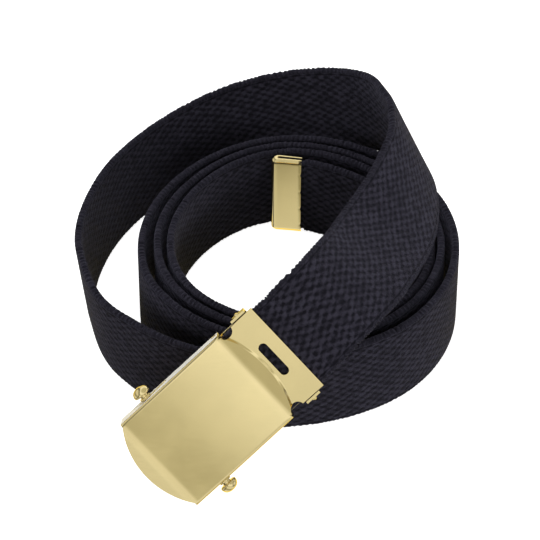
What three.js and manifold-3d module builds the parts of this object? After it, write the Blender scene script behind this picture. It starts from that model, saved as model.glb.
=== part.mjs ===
// A canvas web belt, coiled on its lower edge, with its box buckle lying over the coil.
// Millimetres, +Z up. The web walks clockwise round the coil, from the tip inside it to the buckle.
import * as THREE from "three";
import { mergeVertices } from "three/addons/utils/BufferGeometryUtils.js";
import Module from "manifold-3d";

const wasm = await Module();
wasm.setup();

// Web
const WEB_WIDTH = 32;
const WEB_THICK = 2.6;
const WEB_EDGE = 0.8;
const WEB_STEP = 7;
const COIL_RADIUS = 50;
const SLIP = 0.3;

// Tip over the web's free end
const TIP_LENGTH = 11.4;
const TIP_SHEET = 0.55;
const TIP_CORNER = 1.6;
const TIP_BEVEL = 0.6;
const TIP_BEVEL_RISE = 1.3;
const TIP_GRIP = 0.6;
const CRIMPED_THICK = 2;
const CRIMPED_WIDTH = 30;

// Buckle shell, in its own frame: X across, Y from the mouth to the web, Z out of the face
const SHEET = 0.9;
const FACE_LENGTH = 41.4;
const FACE_HEIGHT = 5.5;
const FACE_MARGIN = 1.6;
const FACE_EDGE = 1.1;
const MOUTH_DEPTH = 5;
const HEEL_DEPTH = 3;
const LIP_LENGTH = 5.6;
const LIP_DROP = 1.5;
const HOOD_LENGTH = 4.5;
const HOOD_DROP = 2.5;
const FLANGE_HEIGHT = 2.6;
const FLANGE_MARGIN = 0.7;
const FLANGE_LENGTH = 13.7;
const SLOT_LENGTH = 12.6;
const SLOT_WIDTH = 3;
const SLOT_INSET = 5.8;
const NOTCH_RADIUS = 2.3;
const NOTCH_INSET = 0.4;
const SEAM = 0.05;

// Roller bar across the mouth
const BAR_RADIUS = 1.6;
const BAR_Y = 11.2;
const BAR_Z = 0.3;
const BAR_TRAVEL = 7;
const BAR_SLANT = 18;
const NECK_RADIUS = 1.35;
const COLLAR_RADIUS = 2;
const COLLAR_LENGTH = 0.7;
const KNOB_RADIUS = 2.9;
const KNOB_LENGTH = 1.9;
const KNOB_REACH = 3.4;

// Clamp that holds the web's end under the flange
const CLAMP_SHEET = 0.8;
const TOOTH_HEIGHT = 0.6;
const TOOTH_COUNT = 9;
const HINGE_INSET = 1.6;
const HINGE_Z = -1;
const HINGE_RADIUS = 0.8;
const LUG_RADIUS = 1.7;
const EAR_OFFSET = 5.9;
const EAR_LENGTH = 5.4;
const EAR_RISE = 2;
const EAR_BUMP = 0.85;
const WEB_GRIP = 13.2;

// The web's route. turn: degrees walked round the coil, clockwise from its back. radius: of the
// foot edge, as a share of COIL_RADIUS, on top of one web's thickness for each whole turn. foot:
// the foot edge's height as a share of WEB_WIDTH. lean: degrees that the web leans outward.
const ROUTE = [
  { turn: 6, radius: 0.825, foot: 0, lean: 0 },
  { turn: 9, radius: 0.822, foot: 0, lean: 0 },
  { turn: 16, radius: 0.806, foot: 0, lean: 0 },
  { turn: 35, radius: 0.791, foot: 0, lean: 0 },
  { turn: 60, radius: 0.807, foot: 0, lean: 0 },
  { turn: 90, radius: 0.837, foot: 0, lean: 0 },
  { turn: 135, radius: 0.82, foot: 0, lean: 0 },
  { turn: 180, radius: 0.782, foot: 0, lean: 0 },
  { turn: 209, radius: 0.768, foot: 0, lean: 0 },
  { turn: 236, radius: 0.776, foot: 0, lean: 0 },
  { turn: 290, radius: 0.774, foot: 0, lean: 0 },
  { turn: 310, radius: 0.795, foot: 0, lean: 0 },
  { turn: 326, radius: 0.825, foot: 0, lean: 0 },
  { turn: 345, radius: 0.866, foot: 0, lean: 0 },
  { turn: 360, radius: 0.884, foot: 0, lean: 0 },
  { turn: 375, radius: 0.875, foot: 0, lean: 0 },
  { turn: 405, radius: 0.849, foot: 0, lean: 0 },
  { turn: 450, radius: 0.859, foot: 0, lean: 0 },
  { turn: 495, radius: 0.848, foot: 0, lean: 0 },
  { turn: 540, radius: 0.814, foot: 0, lean: 0 },
  { turn: 570, radius: 0.796, foot: 0, lean: 0 },
  { turn: 596, radius: 0.806, foot: 0, lean: 0 },
  { turn: 650, radius: 0.81, foot: 0, lean: 0 },
  { turn: 670, radius: 0.819, foot: 0, lean: 0 },
  { turn: 686, radius: 0.845, foot: 0, lean: 0 },
  { turn: 705, radius: 0.885, foot: 0, lean: 0 },
  { turn: 720, radius: 0.9, foot: 0, lean: 0 },
  { turn: 765, radius: 0.867, foot: 0, lean: 0 },
  { turn: 810, radius: 0.871, foot: 0, lean: 0 },
  { turn: 855, radius: 0.858, foot: 0, lean: 0 },
  { turn: 900, radius: 0.842, foot: 0, lean: 0 },
  { turn: 930, radius: 0.844, foot: 0, lean: 0 },
  { turn: 956, radius: 0.862, foot: 0, lean: 0 },
  { turn: 972, radius: 0.872, foot: 0, lean: 0 },
  { turn: 990, radius: 0.861, foot: 0, lean: 0 },
  { turn: 1012, radius: 0.852, foot: 0, lean: 0 },
  { turn: 1030, radius: 0.857, foot: 0, lean: 0 },
  { turn: 1047, radius: 0.877, foot: 0, lean: 0 },
  { turn: 1065, radius: 0.906, foot: 0, lean: 0 },
  { turn: 1080, radius: 0.92, foot: 0, lean: 0 },
  { turn: 1125, radius: 0.917, foot: 0, lean: 0 },
  { turn: 1170, radius: 0.915, foot: 0, lean: 0 },
  { turn: 1215, radius: 0.914, foot: 0, lean: 0 },
  { turn: 1240, radius: 0.909, foot: 0, lean: 0 },
  { turn: 1262, radius: 0.936, foot: 0, lean: 0 },
  { turn: 1289, radius: 1.024, foot: 0, lean: 0 },
  { turn: 1312, radius: 1.09, foot: 0, lean: 2 },
  { turn: 1325, radius: 1.129, foot: 0, lean: 5 },
  { turn: 1341, radius: 1.142, foot: 0, lean: 6 },
  { turn: 1351, radius: 1.169, foot: 0, lean: 6 },
  { turn: 1370, radius: 1.186, foot: 0, lean: 6 },
  { turn: 1385, radius: 1.208, foot: 0, lean: 7 },
  { turn: 1398, radius: 1.225, foot: 0.02, lean: 7.5 },
  { turn: 1412, radius: 1.225, foot: 0.1, lean: 8 },
  { turn: 1430, radius: 1.21, foot: 0.28, lean: 7 },
  { turn: 1450, radius: 1.165, foot: 0.495, lean: 4.5 },
  { turn: 1466, radius: 1.102, foot: 0.665, lean: 0 },
  { turn: 1479, radius: 1.02, foot: 0.795, lean: -9 },
  { turn: 1490, radius: 0.946, foot: 0.982, lean: -20 },
  { turn: 1501, radius: 0.864, foot: 1.053, lean: -26 },
  { turn: 1515, radius: 0.785, foot: 1.086, lean: -34 },
  { turn: 1533, radius: 0.728, foot: 1.145, lean: -43 },
  { turn: 1554, radius: 0.733, foot: 1.24, lean: -54 },
  { turn: 1571, radius: 0.806, foot: 1.35, lean: -60.5 },
  { turn: 1584, radius: 0.915, foot: 1.41, lean: -58 },
  { turn: 1594, radius: 1.022, foot: 1.435, lean: -53 },
  { turn: 1602.5, radius: 1.127, foot: 1.38, lean: -46 },
  { turn: 1609, radius: 1.184, foot: 1.206, lean: -42 },
  { turn: 1613, radius: 1.219, foot: 1.088, lean: -41.5 },
];

// One column of the route at a turn, through a cubic with the neighbours' slopes.
function routeValue(column, turn) {
  const last = ROUTE.length - 1;
  const slope = (i) => {
    const before = ROUTE[Math.max(i - 1, 0)];
    const after = ROUTE[Math.min(i + 1, last)];
    return (after[column] - before[column]) / (after.turn - before.turn);
  };
  let i = 0;
  while (i < last - 1 && ROUTE[i + 1].turn < turn) i += 1;
  const span = ROUTE[i + 1].turn - ROUTE[i].turn;
  const t = (turn - ROUTE[i].turn) / span;
  const rise = ROUTE[i + 1][column] - ROUTE[i][column];
  const bendIn = slope(i) * span - rise;
  const bendOut = rise - slope(i + 1) * span;
  return ROUTE[i][column] + t * rise + t * (1 - t) * ((1 - t) * bendIn + t * bendOut);
}

function footPoint(turn) {
  const radius = routeValue("radius", turn) * COIL_RADIUS + (WEB_THICK * turn) / 360;
  const lean = THREE.MathUtils.degToRad(routeValue("lean", turn));
  const angle = THREE.MathUtils.degToRad(turn);
  const height = routeValue("foot", turn) * WEB_WIDTH + (WEB_THICK / 2) * Math.abs(Math.sin(lean));
  return new THREE.Vector3(radius * Math.sin(angle), radius * Math.cos(angle), height);
}

// The web's frame at a turn: its centre, the way along it, across it (foot to top) and outward.
function webFrame(turn) {
  const small = 0.25;
  const first = Math.max(turn - small, ROUTE[0].turn);
  const second = Math.min(turn + small, ROUTE[ROUTE.length - 1].turn);
  const along = footPoint(second).sub(footPoint(first)).normalize();
  const upright = new THREE.Vector3(0, 0, 1).addScaledVector(along, -along.z).normalize();
  const lean = THREE.MathUtils.degToRad(routeValue("lean", turn));
  const across = upright.clone().applyAxisAngle(along, -lean);
  const outward = new THREE.Vector3().crossVectors(across, along);
  const centre = footPoint(turn).addScaledVector(across, WEB_WIDTH / 2);
  return { centre, along, across, outward };
}

// The same frame moved straight along the web.
function slideFrame(frame, distance) {
  return { ...frame, centre: frame.centre.clone().addScaledVector(frame.along, distance) };
}

// Closes rings of points, all of one count, into a solid whose two ends are flat.
function loft(rings, endOutline) {
  const count = rings[0].length;
  const points = rings.flat();
  const index = [];
  for (let r = 0; r + 1 < rings.length; r += 1) {
    for (let k = 0; k < count; k += 1) {
      const a = r * count + k;
      const b = r * count + ((k + 1) % count);
      index.push(a, b, b + count, a, b + count, a + count);
    }
  }
  const top = (rings.length - 1) * count;
  for (const [a, b, c] of THREE.ShapeUtils.triangulateShape(endOutline, [])) {
    index.push(a, c, b, top + a, top + b, top + c);
  }
  const geometry = new THREE.BufferGeometry();
  geometry.setAttribute("position", new THREE.Float32BufferAttribute(points.flatMap((p) => p.toArray()), 3));
  geometry.setIndex(index);
  return geometry;
}

function toSolid(geometry) {
  const bare = geometry.clone();
  bare.deleteAttribute("normal");
  bare.deleteAttribute("uv");
  const merged = mergeVertices(bare, 1e-4);
  const mesh = new wasm.Mesh({
    numProp: 3,
    vertProperties: new Float32Array(merged.getAttribute("position").array),
    triVerts: new Uint32Array(merged.index.array),
  });
  return new wasm.Manifold(mesh);
}

function toGeometry(solid) {
  const mesh = solid.getMesh();
  const geometry = new THREE.BufferGeometry();
  geometry.setAttribute("position", new THREE.Float32BufferAttribute(mesh.vertProperties, 3));
  geometry.setIndex(Array.from(mesh.triVerts));
  const faceted = geometry.toNonIndexed();
  faceted.computeVertexNormals();
  return faceted;
}

// A flat outline in X and Y, raised from z = low to z = high.
function slab(points, low, high) {
  const geometry = new THREE.ExtrudeGeometry(new THREE.Shape(points), { depth: high - low, bevelEnabled: false });
  return toSolid(geometry.translate(0, 0, low));
}

// A flat outline in Y and Z, its thickness from x = low to x = high.
function cheek(points, low, high) {
  const geometry = new THREE.ExtrudeGeometry(new THREE.Shape(points), { depth: high - low, bevelEnabled: false });
  const turnToSide = new THREE.Matrix4().makeBasis(
    new THREE.Vector3(0, 1, 0),
    new THREE.Vector3(0, 0, 1),
    new THREE.Vector3(1, 0, 0),
  );
  return toSolid(geometry.applyMatrix4(turnToSide).translate(low, 0, 0));
}

function box(x0, x1, y0, y1, z0, z1) {
  const geometry = new THREE.BoxGeometry(x1 - x0, y1 - y0, z1 - z0);
  return toSolid(geometry.translate((x0 + x1) / 2, (y0 + y1) / 2, (z0 + z1) / 2));
}

// A shape turned about a line along X, from (radius, x) pairs that start and end on the axis.
function turned(profile, y, z, sides) {
  const geometry = new THREE.LatheGeometry(profile.map(([radius, x]) => new THREE.Vector2(radius, x)), sides);
  return toSolid(geometry.rotateZ(-Math.PI / 2).translate(0, y, z));
}

function pinAlongX(radius, x0, x1, y, z, sides) {
  return turned([[0, x0], [radius, x0], [radius, x1], [0, x1]], y, z, sides);
}

// Points of a round arc over a chord on the X axis from -half to half, with the given rise in Y.
function arcOver(half, rise, y, steps) {
  const radius = (half * half + rise * rise) / (2 * rise);
  const points = [];
  for (let k = 0; k <= steps; k += 1) {
    const x = half - (2 * half * k) / steps;
    points.push(new THREE.Vector2(x, y + Math.sqrt(radius * radius - x * x) - radius + rise));
  }
  return points;
}

// The web's section: x outward through its thickness, y across its width.
function webOutline(thick, width) {
  const t = thick / 2;
  const w = width / 2;
  const e = WEB_EDGE;
  const corners = [[t, e - w], [t, w - e], [t - e, w], [e - t, w], [-t, w - e], [-t, e - w], [e - t, -w], [t - e, -w]];
  return corners.map(([x, y]) => new THREE.Vector2(x, y));
}

function makeStrap() {
  const section = (frame, thick, width) => webOutline(thick, width).map((p) => frame.centre.clone()
    .addScaledVector(frame.outward, p.x).addScaledVector(frame.across, p.y));
  const start = webFrame(ROUTE[0].turn);
  const end = webFrame(ROUTE[ROUTE.length - 1].turn);
  const rings = [
    section(slideFrame(start, TIP_CORNER + TIP_SHEET + SLIP - TIP_LENGTH), CRIMPED_THICK, CRIMPED_WIDTH),
    section(slideFrame(start, 0), CRIMPED_THICK, CRIMPED_WIDTH),
    section(slideFrame(start, TIP_GRIP), WEB_THICK, WEB_WIDTH),
  ];
  let turn = ROUTE[0].turn;
  let last = slideFrame(start, TIP_GRIP).centre;
  while (turn < ROUTE[ROUTE.length - 1].turn - 0.5) {
    turn += 0.25;
    const frame = webFrame(turn);
    if (frame.centre.distanceTo(last) < WEB_STEP) continue;
    rings.push(section(frame, WEB_THICK, WEB_WIDTH));
    last = frame.centre;
  }
  rings.push(section(end, WEB_THICK, WEB_WIDTH), section(slideFrame(end, WEB_GRIP), WEB_THICK, WEB_WIDTH));
  return loft(rings, webOutline(WEB_THICK, WEB_WIDTH));
}

// The tip, in a frame with X toward its closed end, Y toward the inside of the coil and Z up the web.
function makeTip() {
  const outline = (inset, shorten) => {
    const outer = CRIMPED_THICK / 2 + SLIP + TIP_SHEET - inset;
    const inner = outer - TIP_SHEET;
    const length = TIP_LENGTH - shorten;
    const points = [];
    const bend = (half, end, from, to) => {
      for (let k = 0; k <= 6; k += 1) {
        const angle = from + ((to - from) * k) / 6;
        points.push(new THREE.Vector2(end - outer + half * Math.cos(angle), half * Math.sin(angle)));
      }
    };
    points.push(new THREE.Vector2(0, -outer));
    bend(outer, length, -Math.PI / 2, Math.PI / 2);
    points.push(new THREE.Vector2(0, outer), new THREE.Vector2(0, inner));
    bend(inner, length, Math.PI / 2, -Math.PI / 2);
    points.push(new THREE.Vector2(0, -inner));
    return points;
  };
  const half = WEB_WIDTH / 2;
  const levels = [
    { z: -half, outline: outline(TIP_BEVEL, TIP_CORNER) },
    { z: TIP_BEVEL_RISE - half, outline: outline(0, 0) },
    { z: half - TIP_BEVEL_RISE, outline: outline(0, 0) },
    { z: half, outline: outline(TIP_BEVEL, TIP_CORNER) },
  ];
  const rings = levels.map((level) => level.outline.map((p) => new THREE.Vector3(p.x, p.y, level.z)));
  return loft(rings, levels[0].outline);
}

const FACE_HALF = WEB_WIDTH / 2 + FACE_MARGIN;
const FLANGE_HALF = WEB_WIDTH / 2 + FLANGE_MARGIN;
const BUCKLE_END = FACE_LENGTH + FLANGE_LENGTH;
const HINGE_Y = FACE_LENGTH - HINGE_INSET;
const EAR_START = FACE_LENGTH + EAR_OFFSET;
const BAR_RISE = -Math.sin(THREE.MathUtils.degToRad(BAR_SLANT));
const BAR_RUN = Math.cos(THREE.MathUtils.degToRad(BAR_SLANT));

function makeFrame() {
  const channel = (half, top, edge, bottom) => {
    const shape = new THREE.Shape();
    shape.moveTo(-half, bottom);
    shape.lineTo(-half, top - edge);
    shape.absarc(-half + edge, top - edge, edge, Math.PI, Math.PI / 2, true);
    shape.absarc(half - edge, top - edge, edge, Math.PI / 2, 0, true);
    shape.lineTo(half, bottom);
    return shape.extractPoints(4).shape;
  };
  const sweepAlongY = (points) => {
    const depth = FACE_LENGTH + 2 * SEAM;
    const geometry = new THREE.ExtrudeGeometry(new THREE.Shape(points), { depth, bevelEnabled: false });
    return toSolid(geometry.rotateX(Math.PI / 2).translate(0, FACE_LENGTH + SEAM, 0));
  };
  const low = -MOUTH_DEPTH;
  const outside = sweepAlongY(channel(FACE_HALF, FACE_HEIGHT, FACE_EDGE, low));
  const inside = sweepAlongY(channel(FACE_HALF - SHEET, FACE_HEIGHT - SHEET, FACE_EDGE - SHEET / 2, low - 1));
  const underHeel = [[-1, low - 1], [-1, low], [0, low], [FACE_LENGTH, -HEEL_DEPTH], [FACE_LENGTH + 1, low - 1]];
  const trim = cheek(underHeel.map(([y, z]) => new THREE.Vector2(y, z)), -FACE_HALF - 1, FACE_HALF + 1);
  let shell = outside.subtract(inside).subtract(trim);

  // The lip at the mouth and the hood at the web's end slope down from the face's two creases.
  const lipHalf = FACE_HALF - FACE_EDGE;
  const lipPlan = arcOver(lipHalf, LIP_LENGTH, 0, 16).map((p) => new THREE.Vector2(p.x, -p.y));
  const lipTop = (y) => FACE_HEIGHT + (LIP_DROP / LIP_LENGTH) * Math.min(y, 0);
  shell = shell.add(slopedSheet(lipPlan.reverse(), lipTop, SHEET));
  const hoodTop = (y) => FACE_HEIGHT - (HOOD_DROP / HOOD_LENGTH) * (y - FACE_LENGTH);
  const hoodPlan = arcOver(FACE_HALF, HOOD_LENGTH, FACE_LENGTH, 16);
  const hollowPlan = arcOver(FACE_HALF - SHEET, HOOD_LENGTH - SHEET, FACE_LENGTH, 16);
  const flangeTop = FLANGE_HEIGHT;
  const hood = slopedSheet(hoodPlan, hoodTop, (y) => hoodTop(y) - flangeTop + SHEET);
  const flange = box(-FLANGE_HALF, FLANGE_HALF, FACE_LENGTH, BUCKLE_END, flangeTop - SHEET, flangeTop);
  const hollow = slopedSheet(hollowPlan, (y) => hoodTop(y) - SHEET, (y) => hoodTop(y) - flangeTop + SHEET * 2);
  const mouthOfHollow = slab(hollowPlan, flangeTop - 2 * SHEET, flangeTop);
  shell = shell.add(hood.add(flange).subtract(hollow).subtract(mouthOfHollow));

  // Flange slot and the two side notches.
  const slotY = BUCKLE_END - SLOT_INSET;
  const slot = new THREE.Shape();
  const slotRun = (SLOT_LENGTH - SLOT_WIDTH) / 2;
  slot.absarc(slotRun, slotY, SLOT_WIDTH / 2, -Math.PI / 2, Math.PI / 2, false);
  slot.absarc(-slotRun, slotY, SLOT_WIDTH / 2, Math.PI / 2, (Math.PI * 3) / 2, false);
  shell = shell.subtract(slab(slot.extractPoints(8).shape, flangeTop - 2 * SHEET, flangeTop + SHEET));
  for (const side of [-1, 1]) {
    const notch = new THREE.Shape();
    const x = side * (FLANGE_HALF - NOTCH_INSET + SHEET / 2);
    notch.absarc(x, FACE_LENGTH + NOTCH_RADIUS + NOTCH_INSET, NOTCH_RADIUS, 0, Math.PI * 2, false);
    shell = shell.subtract(slab(notch.extractPoints(16).shape, flangeTop - 2 * SHEET, FACE_HEIGHT + SHEET));
  }

  // Slanted slots for the roller bar and round holes for the clamp's hinge pin.
  const reach = NECK_RADIUS + SLIP;
  const slantedSlot = new THREE.Shape();
  const slant = Math.atan2(BAR_RISE, BAR_RUN);
  const endY = BAR_Y + BAR_TRAVEL * BAR_RUN;
  const endZ = BAR_Z + BAR_TRAVEL * BAR_RISE;
  slantedSlot.absarc(endY, endZ, reach, slant - Math.PI / 2, slant + Math.PI / 2, false);
  slantedSlot.absarc(BAR_Y, BAR_Z, reach, slant + Math.PI / 2, slant + (Math.PI * 3) / 2, false);
  const slotThrough = cheek(slantedSlot.extractPoints(8).shape, -FACE_HALF - 1, FACE_HALF + 1);
  const pinHole = pinAlongX(HINGE_RADIUS + SLIP, -FACE_HALF - 1, FACE_HALF + 1, HINGE_Y, HINGE_Z, 16);
  shell = shell.subtract(slotThrough).subtract(pinHole);
  return toGeometry(shell);
}

// A sheet over a plan outline: its top follows top(y), its thickness is a number or depth(y).
function slopedSheet(plan, top, depth) {
  const depthAt = typeof depth === "function" ? depth : () => depth;
  const upper = plan.map((p) => new THREE.Vector3(p.x, p.y, top(p.y)));
  const lower = plan.map((p) => new THREE.Vector3(p.x, p.y, top(p.y) - depthAt(p.y)));
  return toSolid(loft([lower, upper], plan));
}

function makeRollerBar() {
  const wallOut = FACE_HALF + SLIP;
  const wallIn = FACE_HALF - SHEET - SLIP;
  const head = wallOut + KNOB_REACH - KNOB_LENGTH;
  const half = [
    [BAR_RADIUS, wallIn], [NECK_RADIUS, wallIn], [NECK_RADIUS, wallOut], [COLLAR_RADIUS, wallOut],
    [COLLAR_RADIUS, wallOut + COLLAR_LENGTH], [NECK_RADIUS, wallOut + COLLAR_LENGTH], [NECK_RADIUS, head],
    [KNOB_RADIUS, head], [KNOB_RADIUS, head + KNOB_LENGTH * 0.3], [KNOB_RADIUS * 0.85, head + KNOB_LENGTH * 0.7],
    [KNOB_RADIUS * 0.5, head + KNOB_LENGTH * 0.95], [0, head + KNOB_LENGTH],
  ];
  const otherHalf = half.map(([radius, x]) => [radius, -x]).reverse();
  return toGeometry(turned([...otherHalf, ...half], BAR_Y, BAR_Z, 20));
}

function makeClamp() {
  const top = -WEB_THICK / 2 - SLIP - TOOTH_HEIGHT;
  const bottom = top - CLAMP_SHEET;
  const innerHalf = FACE_HALF - SHEET - SLIP;
  const earIn = FLANGE_HALF + SLIP;
  const earOut = earIn + CLAMP_SHEET;
  let clamp = box(-innerHalf, innerHalf, HINGE_Y, EAR_START + SEAM, bottom, top);
  clamp = clamp.add(box(-earOut, earOut, EAR_START, EAR_START + EAR_LENGTH, bottom, top));
  for (const side of [-1, 1]) {
    const span = (a, b) => [Math.min(side * a, side * b), Math.max(side * a, side * b)];
    const [earLow, earHigh] = span(earIn, earOut);
    clamp = clamp.add(box(earLow, earHigh, EAR_START, EAR_START + EAR_LENGTH, bottom, EAR_RISE));
    const bump = new THREE.SphereGeometry(EAR_BUMP, 10, 8);
    const bumpY = EAR_START + EAR_LENGTH / 2;
    clamp = clamp.add(toSolid(bump.translate(side * earOut, bumpY, EAR_RISE - EAR_BUMP * 1.6)));
    const [lugLow, lugHigh] = span(innerHalf - CLAMP_SHEET * 0.9, innerHalf);
    clamp = clamp.add(pinAlongX(LUG_RADIUS, lugLow, lugHigh, HINGE_Y, HINGE_Z, 20));
    clamp = clamp.add(box(lugLow, lugHigh, HINGE_Y, HINGE_Y + LUG_RADIUS, bottom, HINGE_Z));
  }
  const toothPitch = (2 * (WEB_WIDTH / 2 - 2)) / (TOOTH_COUNT - 1);
  for (let k = 0; k < TOOTH_COUNT; k += 1) {
    const x = (k - (TOOTH_COUNT - 1) / 2) * toothPitch;
    const tooth = new THREE.ConeGeometry(toothPitch * 0.3, TOOTH_HEIGHT + 0.3, 4);
    const place = tooth.rotateX(Math.PI / 2).translate(x, EAR_START + EAR_LENGTH / 2, top + TOOTH_HEIGHT / 2 - 0.15);
    clamp = clamp.add(toSolid(place));
  }
  const hole = pinAlongX(HINGE_RADIUS + SLIP, -FACE_HALF, FACE_HALF, HINGE_Y, HINGE_Z, 16);
  return toGeometry(clamp.subtract(hole));
}

function makeClampPin() {
  return toGeometry(pinAlongX(HINGE_RADIUS, -FACE_HALF - SLIP, FACE_HALF + SLIP, HINGE_Y, HINGE_Z, 16));
}

function part(name, geometry, color, roughness, metalness) {
  const material = new THREE.MeshStandardMaterial({ color, roughness, metalness });
  const mesh = new THREE.Mesh(geometry, material);
  mesh.name = name;
  return mesh;
}

const BRASS = 0xd9c27a;
const NAVY = 0x16161f;

const belt = new THREE.Group();
belt.add(part("strap", makeStrap(), NAVY, 0.95, 0));

const start = webFrame(ROUTE[0].turn);
const tip = part("belt_tip", makeTip(), BRASS, 0.25, 1);
tip.applyMatrix4(new THREE.Matrix4().makeBasis(
  start.along.clone().negate(),
  start.outward.clone().negate(),
  start.across,
).setPosition(start.centre));
belt.add(tip);

const end = webFrame(ROUTE[ROUTE.length - 1].turn);
const buckle = new THREE.Group();
buckle.add(part("buckle_frame", makeFrame(), BRASS, 0.2, 1));
buckle.add(part("roller_bar", makeRollerBar(), BRASS, 0.2, 1));
buckle.add(part("clamp", makeClamp(), BRASS, 0.3, 1));
buckle.add(part("clamp_pin", makeClampPin(), BRASS, 0.3, 1));
buckle.applyMatrix4(new THREE.Matrix4().makeBasis(
  end.across.clone().negate(),
  end.along.clone().negate(),
  end.outward,
).setPosition(end.centre.clone().addScaledVector(end.along, BUCKLE_END)));
belt.add(buckle);

// The origin is below the middle of the whole belt, on the surface that it stands on.
const bounds = new THREE.Box3().setFromObject(belt, true);
const middle = bounds.getCenter(new THREE.Vector3());
belt.position.set(-middle.x, -middle.y, -bounds.min.z);

export default belt;
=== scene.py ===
import math

import bmesh
import bpy
import numpy as np
from mathutils import Matrix, Vector


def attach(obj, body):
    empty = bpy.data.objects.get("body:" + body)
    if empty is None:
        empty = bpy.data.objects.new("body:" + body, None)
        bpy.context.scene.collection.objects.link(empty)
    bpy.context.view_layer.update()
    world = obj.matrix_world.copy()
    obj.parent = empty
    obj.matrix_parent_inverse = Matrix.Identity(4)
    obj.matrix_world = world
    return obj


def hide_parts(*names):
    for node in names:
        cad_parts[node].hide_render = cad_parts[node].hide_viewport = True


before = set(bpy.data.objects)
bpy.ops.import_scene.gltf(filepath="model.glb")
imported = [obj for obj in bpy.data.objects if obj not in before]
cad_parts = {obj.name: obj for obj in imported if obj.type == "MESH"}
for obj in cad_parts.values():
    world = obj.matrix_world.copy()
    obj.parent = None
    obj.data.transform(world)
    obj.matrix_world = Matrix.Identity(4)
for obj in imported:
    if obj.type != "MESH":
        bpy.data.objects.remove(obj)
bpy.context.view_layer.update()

# Web, in metres
WEB_WIDTH = 0.032
WEB_THICK = 0.0026
COIL_RADIUS = 0.05
COIL_AXIS = (0.008656, 0.010946)
CRIMPED_THICK = 0.002
CRIMPED_WIDTH = 0.030
CRIMPED_RUN = 0.0089
WEB_GRIP = 0.0132
SCALLOP = 0.0016
STEPS_PER_SCALLOP = 5
SCALLOP_DEPTH = 0.0008

# Weave, in millimetres of the web's own map
BUMP_RUN = 4.4
BUMP_ROW = 2.6
SELVAGE_AT = 14.4

# Buckle shell, in millimetres of its own frame: X across, Y from the mouth to the web, Z out
SHEET = 0.9
FACE_LENGTH = 41.4
FACE_HEIGHT = 5.5
FACE_HALF = 17.6
FACE_EDGE = 1.1
FACE_CROWN = 0.5
CREASE = 1.7
MOUTH_DEPTH = 5.0
HEEL_DEPTH = 3.0
LIP_LENGTH = 5.6
LIP_SLOPE = 0.268
HOOD_LENGTH = 4.5
HOOD_SLOPE = 0.556
HOOD_WALL = 0.9
FLANGE_HEIGHT = 2.6
FLANGE_HALF = 16.7
BUCKLE_END = 55.1
SLOT_AT = 49.3
SLOT_HALF = 4.8
SLOT_RADIUS = 1.5
NOTCH_AT = (16.75, 44.1)
NOTCH_RADIUS = 2.3
PIN_AT = (39.8, -1.0)
PIN_HOLE = 1.1
BAR_AT = (11.2, 0.3)
BAR_TRAVEL = 7.0
BAR_SLANT = 18
BAR_SLOT = 1.65

# Belt tip, in millimetres
TIP_LENGTH = 11.4
TIP_HALF = 1.6
TIP_SHEET = 0.55
TIP_CORNER = 1.6
TIP_BEVEL = 0.6
TIP_BEVEL_RISE = 1.3

# Half of the web's section from its middle to its edge: (distance across, half thickness, share of
# the scallop that moves it), in millimetres. The dip is the groove beside the selvage.
HALF_SECTION = (
    (0.0, 1.30, 0.0),
    (13.6, 1.29, 0.0),
    (14.3, 1.18, 0.1),
    (14.8, 1.24, 0.1),
    (15.35, 1.08, 0.4),
    (15.7, 0.75, 0.8),
    (15.9, 0.4, 1.0),
)

# Half of the roller bar: (radius, distance along it)
BAR_PROFILE = (
    (1.6, 16.4),
    (1.35, 16.4),
    (1.35, 17.9),
    (1.9, 17.95),
    (2.0, 18.05),
    (2.0, 18.5),
    (1.9, 18.6),
    (1.35, 18.65),
    (1.35, 19.3),
    (2.5, 19.35),
    (2.8, 19.5),
    (2.92, 19.8),
    (2.9, 20.3),
    (2.72, 20.9),
    (2.35, 21.45),
    (1.8, 21.85),
    (1.1, 22.1),
    (0.5, 22.2),
    (0.0, 22.22),
)
# Radius that stands for none, so that the end faces keep an area
POINTED = 0.001

# Stage
FLOOR = (0.80, 0.80, 0.80)
ELEVATION = math.radians(42)
TARGET = Vector((0.001156, 0.013184, 0.016))
LENS = 198.0

# Brightness of the studio in the brass, against height plus half the way to the right
WORLD_BANDS = (
    (-0.95, 0.9),
    (-0.78, 0.75),
    (-0.6, 0.28),
    (-0.4, 0.6),
    (-0.2, 0.95),
    (0.05, 0.9),
    (0.24, 0.52),
    (0.45, 1.08),
    (0.72, 1.05),
    (0.95, 0.58),
    (1.3, 0.6),
)
# Share of that left by dark flags, against the way to the right
SIDE_FLAGS = (
    (-1.0, 0.9),
    (-0.72, 0.9),
    (-0.64, 0.12),
    (-0.52, 0.12),
    (-0.44, 1.0),
    (0.8, 1.0),
    (0.88, 0.2),
    (1.0, 0.9),
)
# Warm light low behind the part, and the dim light all round for the cloth
BEHIND = (1.25, 1.0, 0.3)
AMBIENT = (0.07, 0.07, 0.07)

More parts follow.
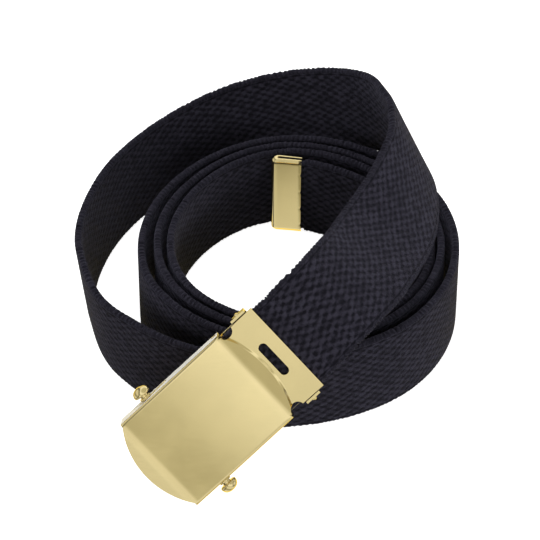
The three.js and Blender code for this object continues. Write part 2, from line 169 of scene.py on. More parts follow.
# The web's route: turn, degrees walked round the coil clockwise from its back; radius of the foot
# edge as a share of COIL_RADIUS; foot edge's height as a share of WEB_WIDTH; lean outward, degrees.
ROUTE = (
    (6, 0.825, 0, 0),
    (9, 0.822, 0, 0),
    (16, 0.806, 0, 0),
    (35, 0.791, 0, 0),
    (60, 0.807, 0, 0),
    (90, 0.837, 0, 0),
    (135, 0.82, 0, 0),
    (180, 0.782, 0, 0),
    (209, 0.768, 0, 0),
    (236, 0.776, 0, 0),
    (290, 0.774, 0, 0),
    (310, 0.795, 0, 0),
    (326, 0.825, 0, 0),
    (345, 0.866, 0, 0),
    (360, 0.884, 0, 0),
    (375, 0.875, 0, 0),
    (405, 0.849, 0, 0),
    (450, 0.859, 0, 0),
    (495, 0.848, 0, 0),
    (540, 0.814, 0, 0),
    (570, 0.796, 0, 0),
    (596, 0.806, 0, 0),
    (650, 0.81, 0, 0),
    (670, 0.819, 0, 0),
    (686, 0.845, 0, 0),
    (705, 0.885, 0, 0),
    (720, 0.9, 0, 0),
    (765, 0.867, 0, 0),
    (810, 0.871, 0, 0),
    (855, 0.858, 0, 0),
    (900, 0.842, 0, 0),
    (930, 0.844, 0, 0),
    (956, 0.862, 0, 0),
    (972, 0.872, 0, 0),
    (990, 0.861, 0, 0),
    (1012, 0.852, 0, 0),
    (1030, 0.857, 0, 0),
    (1047, 0.877, 0, 0),
    (1065, 0.906, 0, 0),
    (1080, 0.92, 0, 0),
    (1125, 0.917, 0, 0),
    (1170, 0.915, 0, 0),
    (1215, 0.914, 0, 0),
    (1240, 0.909, 0, 0),
    (1262, 0.936, 0, 0),
    (1289, 1.024, 0, 0),
    (1312, 1.09, 0, 2),
    (1325, 1.129, 0, 5),
    (1341, 1.142, 0, 6),
    (1351, 1.169, 0, 6),
    (1370, 1.186, 0, 6),
    (1385, 1.208, 0, 7),
    (1398, 1.225, 0.02, 7.5),
    (1412, 1.225, 0.1, 8),
    (1430, 1.21, 0.28, 7),
    (1450, 1.165, 0.495, 4.5),
    (1466, 1.102, 0.675, 0),
    (1479, 1.02, 0.828, -9),
    (1490, 0.946, 0.965, -19),
    (1501, 0.864, 1.053, -26),
    (1515, 0.785, 1.086, -34),
    (1533, 0.728, 1.145, -43),
    (1554, 0.733, 1.24, -54),
    (1571, 0.806, 1.35, -60.5),
    (1584, 0.915, 1.41, -58),
    (1594, 1.022, 1.435, -53),
    (1602.5, 1.127, 1.38, -46),
    (1609, 1.184, 1.206, -42),
    (1613, 1.219, 1.088, -41.5),
)


def route_values(turns):
    """Radius, foot and lean at each turn, through a cubic with the neighbours' slopes."""
    rows = np.array(ROUTE, float)
    at = rows[:, 0]
    last = len(at) - 1
    before = np.maximum(np.arange(last + 1) - 1, 0)
    after = np.minimum(np.arange(last + 1) + 1, last)
    slope = (rows[after] - rows[before]) / (at[after] - at[before])[:, None]
    i = np.clip(np.searchsorted(at, turns, side="right") - 1, 0, last - 1)
    span = (at[i + 1] - at[i])[:, None]
    t = (turns[:, None] - at[i][:, None]) / span
    rise = rows[i + 1] - rows[i]
    bend_in = slope[i] * span - rise
    bend_out = rise - slope[i + 1] * span
    value = rows[i] + t * rise + t * (1 - t) * ((1 - t) * bend_in + t * bend_out)
    return value[:, 1], value[:, 2], np.radians(value[:, 3])


def foot_points(turns):
    share, foot, lean = route_values(turns)
    radius = share * COIL_RADIUS + WEB_THICK * turns / 360
    angle = np.radians(turns)
    height = foot * WEB_WIDTH + WEB_THICK / 2 * np.abs(np.sin(lean))
    return np.stack([radius * np.sin(angle) + COIL_AXIS[0], radius * np.cos(angle) + COIL_AXIS[1], height], 1)


def unit(rows):
    return rows / np.linalg.norm(rows, axis=1)[:, None]


def at_stations(rows, run, stations):
    return np.stack([np.interp(stations, run, rows[:, k]) for k in range(3)], 1)


def web_frames():
    """Centre, along, across and outward for stations SCALLOP / STEPS_PER_SCALLOP apart."""
    first, last = ROUTE[0][0], ROUTE[-1][0]
    turns = np.arange(first, last + 0.01, 0.1)
    small = 0.25
    along = unit(foot_points(np.minimum(turns + small, last)) - foot_points(np.maximum(turns - small, first)))
    upright = unit(np.array([[0, 0, 1.0]]) - along * along[:, 2:3])
    lean = route_values(turns)[2][:, None]
    across = upright * np.cos(lean) - np.cross(along, upright) * np.sin(lean)
    centre = foot_points(turns) + across * WEB_WIDTH / 2
    run = np.concatenate([[0], np.cumsum(np.linalg.norm(np.diff(centre, axis=0), axis=1))])
    stations = np.arange(0, run[-1], SCALLOP / STEPS_PER_SCALLOP)
    stations = np.append(stations[:-1], run[-1])
    centre, along, across = (at_stations(rows, run, stations) for rows in (centre, along, across))
    along = unit(along)
    across = unit(across)
    across = unit(across - along * (across * along).sum(1)[:, None])
    # The hidden ends run straight on, into the tip and under the buckle's flange.
    centre = np.vstack([centre[0] - along[0] * CRIMPED_RUN, centre, centre[-1] + along[-1] * WEB_GRIP])
    along = np.vstack([along[0], along, along[-1]])
    across = np.vstack([across[0], across, across[-1]])
    stations = np.concatenate([[-CRIMPED_RUN], stations, [stations[-1] + WEB_GRIP]])
    return centre, along, across, np.cross(across, along), stations


def section_points():
    """(across, outward, scallop share) round the section, in millimetres."""
    points = []
    rows = HALF_SECTION
    for side in (1, -1):
        points += [(-side * w, side * t, s) for w, t, s in rows[:0:-1]]
        points += [(side * w, side * t, s) for w, t, s in rows]
    return np.array(points)


def build_web():
    centre, along, across, outward, stations = web_frames()
    outline = section_points()
    count, ring = len(stations), len(outline)
    phase = stations / SCALLOP * math.pi + 1.2 * np.sin(stations * 377)
    uneven = 0.55 + 0.45 * np.sin(stations * 910) * np.sin(stations * 333 + 1)
    scallop = (np.cos(phase) ** 2 - 1) * uneven
    width = np.full(count, 1.0)
    thick = np.full(count, 1.0)
    width[:2] = CRIMPED_WIDTH / WEB_WIDTH
    thick[:2] = CRIMPED_THICK / WEB_THICK
    reach = outline[:, 0] / 1000
    reach = reach[None, :] * width[:, None] + np.sign(reach)[None, :] * outline[:, 2][None, :] * (
        scallop[:, None] * SCALLOP_DEPTH + 0.0002)
    rise = outline[:, 1][None, :] / 1000 * thick[:, None]
    points = centre[:, None] + across[:, None] * reach[..., None] + outward[:, None] * rise[..., None]
    mesh = bpy.data.meshes.new("web")
    a = (np.arange(count - 1)[:, None] * ring + np.arange(ring)[None, :]).ravel()
    b = (np.arange(count - 1)[:, None] * ring + (np.arange(ring)[None, :] + 1) % ring).ravel()
    quads = np.stack([a, b, b + ring, a + ring], 1)
    ends = [list(range(ring))[::-1], list(range((count - 1) * ring, count * ring))]
    mesh.from_pydata(points.reshape(-1, 3).tolist(), [], quads.tolist() + ends)
    layer = mesh.uv_layers.new(name="web")
    loops = np.zeros(len(mesh.loops), int)
    mesh.loops.foreach_get("vertex_index", loops)
    run = np.repeat(stations * 1000, ring)[loops]
    over = np.tile(outline[:, 0], count)[loops]
    layer.data.foreach_set("uv", np.stack([run, over], 1).astype(np.float32).ravel())
    mesh.polygons.foreach_set("use_smooth", np.ones(len(mesh.polygons), bool))
    mesh.update()
    web = bpy.data.objects.new("web", mesh)
    bpy.context.scene.collection.objects.link(web)
    return web


class Nodes:
    """Short ways to add shader nodes and join them."""

    def __init__(self, name):
        self.material = bpy.data.materials.new(name)
        self.material.use_nodes = True
        self.tree = self.material.node_tree
        self.shader = self.tree.nodes["Principled BSDF"]

    def put(self, socket, value):
        if isinstance(value, bpy.types.NodeSocket):
            self.tree.links.new(value, socket)
        elif isinstance(value, tuple) and len(socket.default_value) == 4 and len(value) == 3:
            socket.default_value = (*value, 1)
        else:
            socket.default_value = value

    def math(self, operation, a, b=None, c=None):
        node = self.tree.nodes.new("ShaderNodeMath")
        node.operation = operation
        for socket, value in zip(node.inputs, (a, b, c)):
            if value is not None:
                self.put(socket, value)
        return node.outputs[0]

    def noise(self, vector, scale, detail=2.0, roughness=0.5):
        node = self.tree.nodes.new("ShaderNodeTexNoise")
        self.put(node.inputs["Vector"], vector)
        node.inputs["Scale"].default_value = scale
        node.inputs["Detail"].default_value = detail
        node.inputs["Roughness"].default_value = roughness
        return node.outputs[0]

    def shifted(self, vector, distance):
        node = self.tree.nodes.new("ShaderNodeVectorMath")
        self.put(node.inputs[0], vector)
        node.inputs[1].default_value = (distance, distance, distance)
        return node.outputs[0]

    def ramp(self, value, low, high, to_low=0.0, to_high=1.0):
        node = self.tree.nodes.new("ShaderNodeMapRange")
        node.interpolation_type = "SMOOTHSTEP"
        for socket, number in zip(node.inputs, (value, low, high, to_low, to_high)):
            self.put(socket, number)
        return node.outputs[0]

    def mix(self, factor, a, b):
        node = self.tree.nodes.new("ShaderNodeMix")
        node.data_type = "RGBA"
        self.put(node.inputs[0], factor)
        self.put(node.inputs[6], a)
        self.put(node.inputs[7], b)
        return node.outputs[2]

    def bump(self, height, strength, distance):
        node = self.tree.nodes.new("ShaderNodeBump")
        node.inputs["Strength"].default_value = strength
        node.inputs["Distance"].default_value = distance
        self.put(node.inputs["Height"], height)
        return node.outputs[0]

    def coordinates(self):
        return self.tree.nodes.new("ShaderNodeTexCoord").outputs["Object"]


def web_material():
    n = Nodes("web_canvas")
    uv = n.tree.nodes.new("ShaderNodeUVMap")
    uv.uv_map = "web"
    place = uv.outputs[0]
    split = n.tree.nodes.new("ShaderNodeSeparateXYZ")
    n.put(split.inputs[0], place)
    along, across = split.outputs[0], split.outputs[1]
    drift = n.noise(place, 0.45, 2.0, 0.6)
    wander = n.noise(n.shifted(place, 40), 0.45, 2.0, 0.6)
    run = n.math("ADD", along, n.math("MULTIPLY", n.math("SUBTRACT", drift, 0.5), 2.4))
    row = n.math("ADD", across, n.math("MULTIPLY", n.math("SUBTRACT", wander, 0.5), 1.6))
    wave_run = n.math("COSINE", n.math("MULTIPLY", run, 2 * math.pi / BUMP_RUN))
    wave_row = n.math("COSINE", n.math("MULTIPLY", row, 2 * math.pi / BUMP_ROW))
    lattice = n.math("MULTIPLY", wave_run, wave_row)
    bumps = n.math("POWER", n.math("MULTIPLY_ADD", lattice, 0.5, 0.5), 0.7)
    uneven = n.ramp(n.noise(place, 0.38, 1.0), 0.3, 0.7, 0.65, 1.15)
    fibre = n.math("MULTIPLY", n.math("SUBTRACT", n.noise(place, 1.9, 3.0, 0.75), 0.5), 0.95)
    body = n.math("ADD", n.math("MULTIPLY", bumps, uneven), fibre)
    edge = n.math("ABSOLUTE", across)
    ribs = n.math("ABSOLUTE", n.math("COSINE", n.math("MULTIPLY", run, math.pi / (SCALLOP * 1000))))
    selvage_height = n.math("ADD", n.math("MULTIPLY_ADD", ribs, 0.2, 0.36), n.math("MULTIPLY", fibre, 1.3))
    at_selvage = n.ramp(edge, SELVAGE_AT, SELVAGE_AT + 0.6)
    groove = n.ramp(n.math("ABSOLUTE", n.math("SUBTRACT", edge, SELVAGE_AT - 0.2)), 0.0, 0.5)
    body_part = n.math("MULTIPLY", body, n.math("SUBTRACT", 1.0, at_selvage))
    height = n.math("ADD", body_part, n.math("MULTIPLY", selvage_height, at_selvage))
    height = n.math("MULTIPLY", height, n.math("MULTIPLY_ADD", groove, 0.5, 0.5))
    patches = n.ramp(n.noise(place, 0.12, 3.0), 0.3, 0.7, 0.82, 1.2)
    # The cloth's colour follows the weave's height: painted shade in the hollows between the bumps, between
    # the selvage ribs and in the groove beside the selvage, with random patches of tone on top.
    light = n.math("MULTIPLY", n.ramp(height, 0.15, 1.0), patches)
    n.put(n.shader.inputs["Base Color"], n.mix(light, (0.0070, 0.0066, 0.0095), (0.0365, 0.0342, 0.0485)))
    n.put(n.shader.inputs["Roughness"], n.ramp(n.noise(place, 2.0, 2.0), 0.2, 0.8, 0.82, 0.98))
    n.shader.inputs["Specular IOR Level"].default_value = 0.1
    n.shader.inputs["Sheen Weight"].default_value = 0.12
    n.shader.inputs["Sheen Roughness"].default_value = 0.45
    n.shader.inputs["Sheen Tint"].default_value = (0.55, 0.55, 0.75, 1)
    n.put(n.shader.inputs["Normal"], n.bump(height, 0.9, 0.0004))
    return n.material


def brass_material(name, color, roughness):
    n = Nodes(name)
    place = n.coordinates()
    stretched = n.tree.nodes.new("ShaderNodeMapping")
    n.put(stretched.inputs["Vector"], place)
    stretched.inputs["Scale"].default_value = (220, 220, 3200)
    hairlines = n.noise(stretched.outputs[0], 1.0, 3.0, 0.6)
    cloud = n.noise(place, 60.0, 3.0)
    tone = n.ramp(cloud, 0.3, 0.7)
    deep = tuple(c * 0.93 for c in color)
    n.put(n.shader.inputs["Base Color"], n.mix(tone, deep, color))
    n.shader.inputs["Metallic"].default_value = 1.0
    smear = n.math("MULTIPLY", n.math("SUBTRACT", hairlines, 0.5), 0.12)
    worn = n.ramp(cloud, 0.2, 0.8, roughness, roughness + 0.06)
    n.put(n.shader.inputs["Roughness"], n.math("ADD", worn, smear))
    n.put(n.shader.inputs["Normal"], n.bump(hairlines, 0.07, 0.00002))
    return n.material


def dress(name, material):
    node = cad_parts[name]
    node.data.materials.clear()
    node.data.materials.append(material)


def new_object(name, points, faces):
    mesh = bpy.data.meshes.new(name)
    mesh.from_pydata([tuple(p) for p in points], [], faces)
    mesh.update()
    thing = bpy.data.objects.new(name, mesh)
    bpy.context.scene.collection.objects.link(thing)
    return thing


def grid_faces(first, rows, columns, kept=None):
    """Faces of a grid of points; kept names the columns that get them, or all of them."""
    faces = []
    for i in range(rows - 1):
        for j in kept or range(columns - 1):
            a = first + i * columns + j
            faces.append((a, a + 1, a + columns + 1, a + columns))
    return faces


def apply_modifiers(thing):
    graph = bpy.context.evaluated_depsgraph_get()
    mesh = bpy.data.meshes.new_from_object(thing.evaluated_get(graph))
    thing.modifiers.clear()
    thing.data = mesh


def smooth_by_angle(thing, degrees):
    mesh = thing.data
    mesh.polygons.foreach_set("use_smooth", np.ones(len(mesh.polygons), bool))
    mesh.set_sharp_from_angle(angle=math.radians(degrees))


def arc_depth(x, half, rise):
    radius = (half * half + rise * rise) / (2 * rise)
    return math.sqrt(radius * radius - x * x) - radius + rise


def crease_drop(distance, slope):
    """Drop at a distance past a crease that is rounded over CREASE to each side."""
    if distance >= CREASE:
        return slope * distance
    if distance <= -CREASE:
        return 0.0
    return slope * (distance + CREASE) ** 2 / (4 * CREASE)


def face_top(y):
    middle = FACE_LENGTH / 2
    crown = FACE_CROWN * (min(abs(y - middle), middle) / middle) ** 2
    return FACE_HEIGHT - crown - crease_drop(-y, LIP_SLOPE) - crease_drop(y - FACE_LENGTH, HOOD_SLOPE)


def shell_columns():
    """(x, drop below the face, how far down the wall) from the left wall's foot to the right's."""
    half = []
    for k in range(5):
        half.append((FACE_HALF, FACE_EDGE, 1 - k / 4))
    for k in range(1, 9):
        turn = math.radians(90 * k / 8)
        half.append((FACE_HALF - FACE_EDGE * (1 - math.cos(turn)), FACE_EDGE * (1 - math.sin(turn)), 0))
    left = [(-x, drop, down) for x, drop, down in half]
    flat = FACE_HALF - FACE_EDGE
    across = [0.3, *np.linspace(1.2, 2 * flat - 1.2, 27), 2 * flat - 0.3]
    middle = [(step - flat, 0.0, 0.0) for step in across]
    right = [(-x, drop, down) for x, drop, down in reversed(left)]
    return left + middle + right


def prism_along_x(outline, reach):
    """A cutter with an outline in Y and Z, through both walls."""
    count = len(outline)
    points = [(-reach, y, z) for y, z in outline] + [(reach, y, z) for y, z in outline]
    faces = [tuple(range(count))[::-1], tuple(range(count, 2 * count))]
    faces += [(k, (k + 1) % count, count + (k + 1) % count, count + k) for k in range(count)]
    return points, faces


def prism_along_z(outline, low, high):
    count = len(outline)
    points = [(x, y, low) for x, y in outline] + [(x, y, high) for x, y in outline]
    faces = [tuple(range(count))[::-1], tuple(range(count, 2 * count))]
    faces += [(k, (k + 1) % count, count + (k + 1) % count, count + k) for k in range(count)]
    return points, faces


def long_hole(start, end, radius, steps=14):
    """Outline of a slot with round ends between two points of a plane."""
    heading = math.atan2(end[1] - start[1], end[0] - start[0])
    outline = []
    for centre, first in ((end, heading - math.pi / 2), (start, heading + math.pi / 2)):
        for k in range(steps + 1):
            turn = first + math.pi * k / steps
            outline.append((centre[0] + radius * math.cos(turn), centre[1] + radius * math.sin(turn)))
    return outline


def round_hole(centre, radius, steps=32):
    turns = [2 * math.pi * k / steps for k in range(steps)]
    return [(centre[0] + radius * math.cos(t), centre[1] + radius * math.sin(t)) for t in turns]


def shell_cutters():
    slant = math.radians(-BAR_SLANT)
    bar_end = (BAR_AT[0] + BAR_TRAVEL * math.cos(slant), BAR_AT[1] + BAR_TRAVEL * math.sin(slant))
    through = FACE_HALF + 2
    low, high = FLANGE_HEIGHT - 2 * SHEET, FACE_HEIGHT + 1
    cuts = [
        prism_along_x(long_hole(BAR_AT, bar_end, BAR_SLOT), through),
        prism_along_x(round_hole(PIN_AT, PIN_HOLE), through),
        prism_along_z(long_hole((-SLOT_HALF, SLOT_AT), (SLOT_HALF, SLOT_AT), SLOT_RADIUS), low, high),
        prism_along_z(round_hole(NOTCH_AT, NOTCH_RADIUS), low, high),
        prism_along_z(round_hole((-NOTCH_AT[0], NOTCH_AT[1]), NOTCH_RADIUS), low, high),
    ]
    return [new_object("cutter", points, faces) for points, faces in cuts]


def hood_end(x):
    flat = FACE_HALF - FACE_EDGE
    return FACE_LENGTH + arc_depth(min(abs(x), flat), FACE_HALF, HOOD_LENGTH)


def shell_rows(columns, on_face):
    """Rows of (x, y, z or None for the face's own height) from the lip to the flange's end, with the
    number of rows up to the end of the lip and up to the end of the hood's start."""
    flat = FACE_HALF - FACE_EDGE
    rows = []
    for t in (1, 0.96, 0.9, 0.8, 0.65, 0.5, 0.36, 0.24, 0.12):
        ends = [-arc_depth(min(abs(x), flat), flat, LIP_LENGTH + 0.05) * t for x, _, _ in columns]
        rows.append([(x, ends[j] if on_face[j] else 0.0, None) for j, (x, _, _) in enumerate(columns)])
    lip_rows = len(rows)
    for y in (0, 0.4, 0.8, 1.2, *np.linspace(1.7, 39.7, 33), 40.2, 40.6, 41.0, FACE_LENGTH):
        rows.append([(x, y, None) for x, _, _ in columns])
    face_rows = len(rows)
    for t in (0.12, 0.24, 0.38, 0.52, 0.68, 0.84, 0.95, 1):
        rows.append([(x, FACE_LENGTH + (hood_end(x) - FACE_LENGTH) * t, None) for x, _, _ in columns])
    edge = [face_top(hood_end(x)) for x, _, _ in columns]
    wall = ((0.08, 0.03), (0.16, 0.12), (0.42, 0.5), (0.68, 0.88), (0.78, 0.97), (HOOD_WALL, 1.0))
    for out, share in wall:
        rows.append([(x, hood_end(x) + out, edge[j] + (FLANGE_HEIGHT - edge[j]) * share)
                     for j, (x, _, _) in enumerate(columns)])
    wide = FLANGE_HALF / flat
    for t in (0.03, 0.15, 0.4, 0.6, 0.8, 0.98, 1):
        row = []
        for x, _, _ in columns:
            start = hood_end(x) + HOOD_WALL
            row.append((x * (1 + (wide - 1) * t), start + (BUCKLE_END - start) * t, FLANGE_HEIGHT))
        rows.append(row)
    return rows, lip_rows, face_rows


def sheet_mesh(name, points, faces):
    """The sheet without its loose points, with its faces turned out."""
    sheet = new_object(name, points, faces)
    work = bmesh.new()
    work.from_mesh(sheet.data)
    bmesh.ops.delete(work, geom=[v for v in work.verts if not v.link_faces], context="VERTS")
    bmesh.ops.recalc_face_normals(work, faces=work.faces)
    top = max(work.faces, key=face_height)
    if top.normal.z < 0:
        bmesh.ops.reverse_faces(work, faces=work.faces)
    work.to_mesh(sheet.data)
    work.free()
    return sheet


def face_height(face):
    return face.calc_center_median().z


def build_shell():
    columns = shell_columns()
    count = len(columns)
    flat = FACE_HALF - FACE_EDGE
    on_face = [drop == 0.0 and down == 0 and abs(x) <= flat + 1e-6 for x, drop, down in columns]
    kept = [j for j in range(count - 1) if on_face[j] and on_face[j + 1]]
    rows, lip_rows, face_rows = shell_rows(columns, on_face)
    points = []
    for row in rows:
        for (x, y, z), (_, drop, down) in zip(row, columns):
            if z is None:
                z = face_top(y) - drop
                low = -MOUTH_DEPTH + (MOUTH_DEPTH - HEEL_DEPTH) * min(max(y / FACE_LENGTH, 0), 1)
                z = z + (low - z) * down
            points.append((x, y, z))
    faces = grid_faces(0, lip_rows + 1, count, kept)
    faces += grid_faces(lip_rows * count, face_rows - lip_rows, count)
    faces += grid_faces((face_rows - 1) * count, len(rows) - face_rows + 1, count, kept)
    shell = sheet_mesh("buckle_shell", points, faces)
    solid = shell.modifiers.new("sheet", "SOLIDIFY")
    solid.thickness = SHEET
    solid.offset = -1
    solid.use_even_offset = True
    cutters = shell_cutters()
    for cutter in cutters:
        cut = shell.modifiers.new("cut", "BOOLEAN")
        cut.operation = "DIFFERENCE"
        cut.solver = "EXACT"
        cut.object = cutter
    edges = shell.modifiers.new("edges", "BEVEL")
    edges.width = 0.12
    edges.segments = 2
    edges.limit_method = "ANGLE"
    edges.angle_limit = math.radians(42)
    apply_modifiers(shell)
    for cutter in cutters:
        bpy.data.objects.remove(cutter)
    return shell


def build_roller(sides=48):
    profile = [(r, -x) for r, x in reversed(BAR_PROFILE)] + list(BAR_PROFILE)
    points, faces = [], []
    for radius, x in profile:
        for k in range(sides):
            turn = 2 * math.pi * k / sides
            y = BAR_AT[0] + max(radius, POINTED) * math.cos(turn)
            z = BAR_AT[1] + max(radius, POINTED) * math.sin(turn)
            points.append((x, y, z))
    for i in range(len(profile) - 1):
        for k in range(sides):
            a, b = i * sides + k, i * sides + (k + 1) % sides
            faces.append((a, a + sides, b + sides, b))
    return new_object("roller", points, faces)


def tip_outline(inset, shorten, tooth):
    """Folded sheet seen from above: X toward the fold, Y toward the inside of the coil."""
    outer = TIP_HALF - inset
    inner = outer - TIP_SHEET
    centre = TIP_LENGTH - shorten - outer
    points = [(0.9, -outer)]
    points += [(centre + outer * math.cos(t), outer * math.sin(t)) for t in np.linspace(-1.5708, 1.5708, 17)]
    points += [(x, outer) for x in np.linspace(centre, 1, 9)[1:-1]]
    points += [(tooth, outer), (tooth, inner)]
    points += [(x, inner) for x in np.linspace(1, centre, 9)[1:-1]]
    points += [(centre + inner * math.cos(t), inner * math.sin(t)) for t in np.linspace(1.5708, -1.5708, 17)]
    points.append((0.9, -inner))
    return points


def build_tip():
    """Sheet brass tip, a little hollow toward the inside of the coil and toothed at its open edge."""
    half = WEB_WIDTH * 500
    points, faces = [], []
    heights = [half - TIP_CORNER * (1 - math.sin(t)) for t in np.linspace(1.5708, 0, 7)]
    heights += list(np.linspace(half - TIP_CORNER, TIP_CORNER - half, 72)[1:-1])
    heights += [-h for h in heights[6::-1]]
    ring = 0
    for z in heights:
        into = max(abs(z) - half + TIP_CORNER, 0) / TIP_CORNER
        shorten = TIP_CORNER * (1 - math.sqrt(max(1 - into * into, 0)))
        inset = TIP_BEVEL * max(abs(z) - half + TIP_BEVEL_RISE, 0) / TIP_BEVEL_RISE
        tooth = 0.9 + 0.3 * abs(math.sin(z * 0.42 + 0.5)) ** 40
        outline = tip_outline(inset, shorten, tooth)
        ring = len(outline)
        bow = 0.4 * (1 - (z / half) ** 2)
        points += [(x, y + (0.0032 * x * x + bow if y > 0 else 0), z) for x, y in outline]
    for i in range(len(heights) - 1):
        for k in range(ring):
            a, b = i * ring + k, i * ring + (k + 1) % ring
            faces.append((a, a + ring, b + ring, b))
    last = (len(heights) - 1) * ring
    for k in range(ring // 2):
        a, b = k, ring - 1 - k
        if k + 1 < b:
            faces.append((a, a + 1, b - 1, b) if a + 1 != b - 1 else (a, a + 1, b))
            faces.append(tuple(last + q for q in ((b, b - 1, a + 1, a) if a + 1 != b - 1 else (b, a + 1, a))))
    tip = new_object("tip_shell", points, faces)
    edges = tip.modifiers.new("edges", "BEVEL")
    edges.width = 0.1
    edges.segments = 2
    edges.limit_method = "ANGLE"
    edges.angle_limit = math.radians(50)
    apply_modifiers(tip)
    return tip


def place_axes(thing, origin, axes):
    place = Matrix.Identity(4)
    for k, axis in enumerate(axes):
        for i in range(3):
            place[i][k] = axis[i] / 1000
    place.translation = Vector(origin)
    thing.data.transform(place)


def place_on_buckle(thing):
    centre, along, across, outward, _ = web_frames()
    origin = Vector(centre[-2]) + Vector(along[-1]) * (BUCKLE_END / 1000)
    place_axes(thing, origin, (-across[-1], -along[-1], outward[-1]))


def place_on_tip(thing):
    centre, along, across, outward, _ = web_frames()
    place_axes(thing, centre[1], (-along[0], -outward[0], across[0]))


web = build_web()
web.data.materials.append(web_material())
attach(web, "belt")
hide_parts("strap")

brass = brass_material("brass_polished", (0.85, 0.71, 0.37), 0.14)
# The side walls are painted pale near-white and barely metallic: a painted reflection of the light, not the
# brass's own colour.
pale_wall_reflection = brass_material("wall_painted_reflection", (0.95, 0.92, 0.84), 0.5)
pale_wall_reflection.node_tree.nodes["Principled BSDF"].inputs["Metallic"].default_value = 0.1
shell = build_shell()
shell.data.materials.append(brass)
shell.data.materials.append(pale_wall_reflection)
smooth_by_angle(shell, 38)
for face in shell.data.polygons:
    # The side walls' outer faces take the painted reflection.
    if abs(face.normal.x) > 0.97 and abs(face.center.x) > FACE_HALF - 0.1:
        face.material_index = 1
    if max(abs(face.normal.x), abs(face.normal.z)) > 0.9998 and face.area > 0.3:
        face.use_smooth = False
roller = build_roller()
roller.data.materials.append(brass)
smooth_by_angle(roller, 50)
for thing, node, body in ((shell, "buckle_frame", "belt"), (roller, "roller_bar", "roller")):
    place_on_buckle(thing)
    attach(thing, body)
    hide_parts(node)
tip = build_tip()
tip.data.materials.append(brass)
smooth_by_angle(tip, 35)
place_on_tip(tip)
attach(tip, "belt")
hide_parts("belt_tip")
for name in ("clamp", "clamp_pin"):
    dress(name, brass)


def make_floor():
    bpy.ops.mesh.primitive_plane_add(size=6, location=(0, 1.0, 0))
    floor = bpy.context.object
    floor.name = "floor"
    n = Nodes("floor_paper")
    grain = n.noise(n.coordinates(), 400.0, 2.0)
    n.put(n.shader.inputs["Base Color"], n.mix(grain, FLOOR, tuple(c * 0.99 for c in FLOOR)))
    n.shader.inputs["Roughness"].default_value = 0.9
    n.shader.inputs["Emission Color"].default_value = (1, 1, 1, 1)
    n.shader.inputs["Emission Strength"].default_value = 0.93
    floor.data.materials.append(n.material)
    floor.visible_diffuse = False
    floor.visible_glossy = False


def area_light(name, place, aim, size, power):
    data = bpy.data.lights.new(name, "AREA")
    data.shape = "RECTANGLE"
    data.size, data.size_y = size
    data.energy = power
    light = bpy.data.objects.new(name, data)
    light.location = place
    light.visible_glossy = False
    light.rotation_mode = "QUATERNION"
    light.rotation_quaternion = (Vector(aim) - Vector(place)).to_track_quat("-Z", "Y")
    bpy.context.scene.collection.objects.link(light)


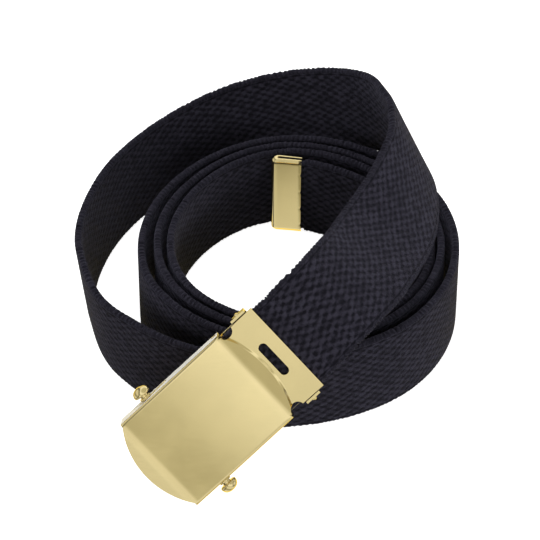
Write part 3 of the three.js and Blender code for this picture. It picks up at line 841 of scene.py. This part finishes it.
def make_world():
    """Dim all round for the cloth; the brass sees soft bands from the horizon to overhead."""
    world = bpy.data.worlds.new("studio")
    world.use_nodes = True
    tree = world.node_tree
    split = tree.nodes.new("ShaderNodeSeparateXYZ")
    tree.links.new(tree.nodes.new("ShaderNodeTexCoord").outputs["Generated"], split.inputs[0])
    height = tree.nodes.new("ShaderNodeMath")
    height.operation = "MULTIPLY_ADD"
    tree.links.new(split.outputs[0], height.inputs[0])
    height.inputs[1].default_value = 0.5
    tree.links.new(split.outputs[2], height.inputs[2])
    spread = tree.nodes.new("ShaderNodeMapRange")
    spread.inputs["From Min"].default_value = -1.0
    spread.inputs["From Max"].default_value = 1.5
    tree.links.new(height.outputs[0], spread.inputs[0])
    bands = tree.nodes.new("ShaderNodeValToRGB")
    tree.links.new(spread.outputs[0], bands.inputs[0])
    ramp = bands.color_ramp
    ramp.interpolation = "EASE"
    for place, level in WORLD_BANDS:
        stop = ramp.elements.new((place + 1) / 2.5)
        stop.color = (level, level * (0.94 + 0.06 * level), level * min(1, 0.55 + 0.45 * level), 1)
    ramp.elements.remove(ramp.elements[-1])
    ramp.elements.remove(ramp.elements[0])
    warm = tree.nodes.new("ShaderNodeMix")
    warm.data_type = "RGBA"
    behind = tree.nodes.new("ShaderNodeMapRange")
    behind.interpolation_type = "SMOOTHSTEP"
    behind.inputs["From Min"].default_value = 0.6
    behind.inputs["From Max"].default_value = 0.9
    away = tree.nodes.new("ShaderNodeMath")
    away.operation = "SUBTRACT"
    tree.links.new(split.outputs[1], away.inputs[0])
    tree.links.new(split.outputs[2], away.inputs[1])
    tree.links.new(away.outputs[0], behind.inputs[0])
    tree.links.new(behind.outputs[0], warm.inputs[0])
    tree.links.new(bands.outputs[0], warm.inputs[6])
    warm.inputs[7].default_value = (*BEHIND, 1)
    mirrored = tree.nodes["Background"]
    tree.links.new(warm.outputs[2], mirrored.inputs[0])
    side = tree.nodes.new("ShaderNodeMapRange")
    side.inputs["From Min"].default_value = -1.0
    tree.links.new(split.outputs[0], side.inputs[0])
    flags = tree.nodes.new("ShaderNodeValToRGB")
    tree.links.new(side.outputs[0], flags.inputs[0])
    for place, level in SIDE_FLAGS:
        stop = flags.color_ramp.elements.new((place + 1) / 2)
        stop.color = (level, level, level, 1)
    flags.color_ramp.elements.remove(flags.color_ramp.elements[-1])
    flags.color_ramp.elements.remove(flags.color_ramp.elements[0])
    tree.links.new(flags.outputs[0], mirrored.inputs[1])
    ambient = tree.nodes.new("ShaderNodeBackground")
    ambient.inputs[0].default_value = (*AMBIENT, 1)
    choose = tree.nodes.new("ShaderNodeMixShader")
    tree.links.new(tree.nodes.new("ShaderNodeLightPath").outputs["Is Glossy Ray"], choose.inputs[0])
    tree.links.new(ambient.outputs[0], choose.inputs[1])
    tree.links.new(mirrored.outputs[0], choose.inputs[2])
    tree.links.new(choose.outputs[0], tree.nodes["World Output"].inputs[0])
    bpy.context.scene.world = world


make_floor()
make_world()
area_light("right", (0.9, -0.55, 0.13), (0, 0, 0.02), (0.4, 0.18), 6.5)
area_light("front", (-0.05, -1.0, 0.45), (0, 0, 0.02), (0.5, 0.35), 3.5)
area_light("left", (-0.85, -0.35, 0.4), (0, 0, 0.02), (0.4, 0.3), 2.5)
area_light("top", (0.0, 0.1, 1.4), (0, 0, 0.02), (0.3, 0.3), 7.5)
area_light("rim", (-0.6, 0.75, 0.6), (0, 0, 0.02), (0.5, 0.5), 5.0)

camera_data = bpy.data.cameras.new("camera")
camera_data.sensor_width = 36
camera_data.lens = LENS
camera = bpy.data.objects.new("camera", camera_data)
bpy.context.scene.collection.objects.link(camera)
back = Vector((0, -math.cos(ELEVATION), math.sin(ELEVATION)))
camera.location = TARGET + back
camera.rotation_mode = "QUATERNION"
camera.rotation_quaternion = (-back).to_track_quat("-Z", "Y")
bpy.context.scene.camera = camera
bpy.context.scene.view_settings.view_transform = "Standard"
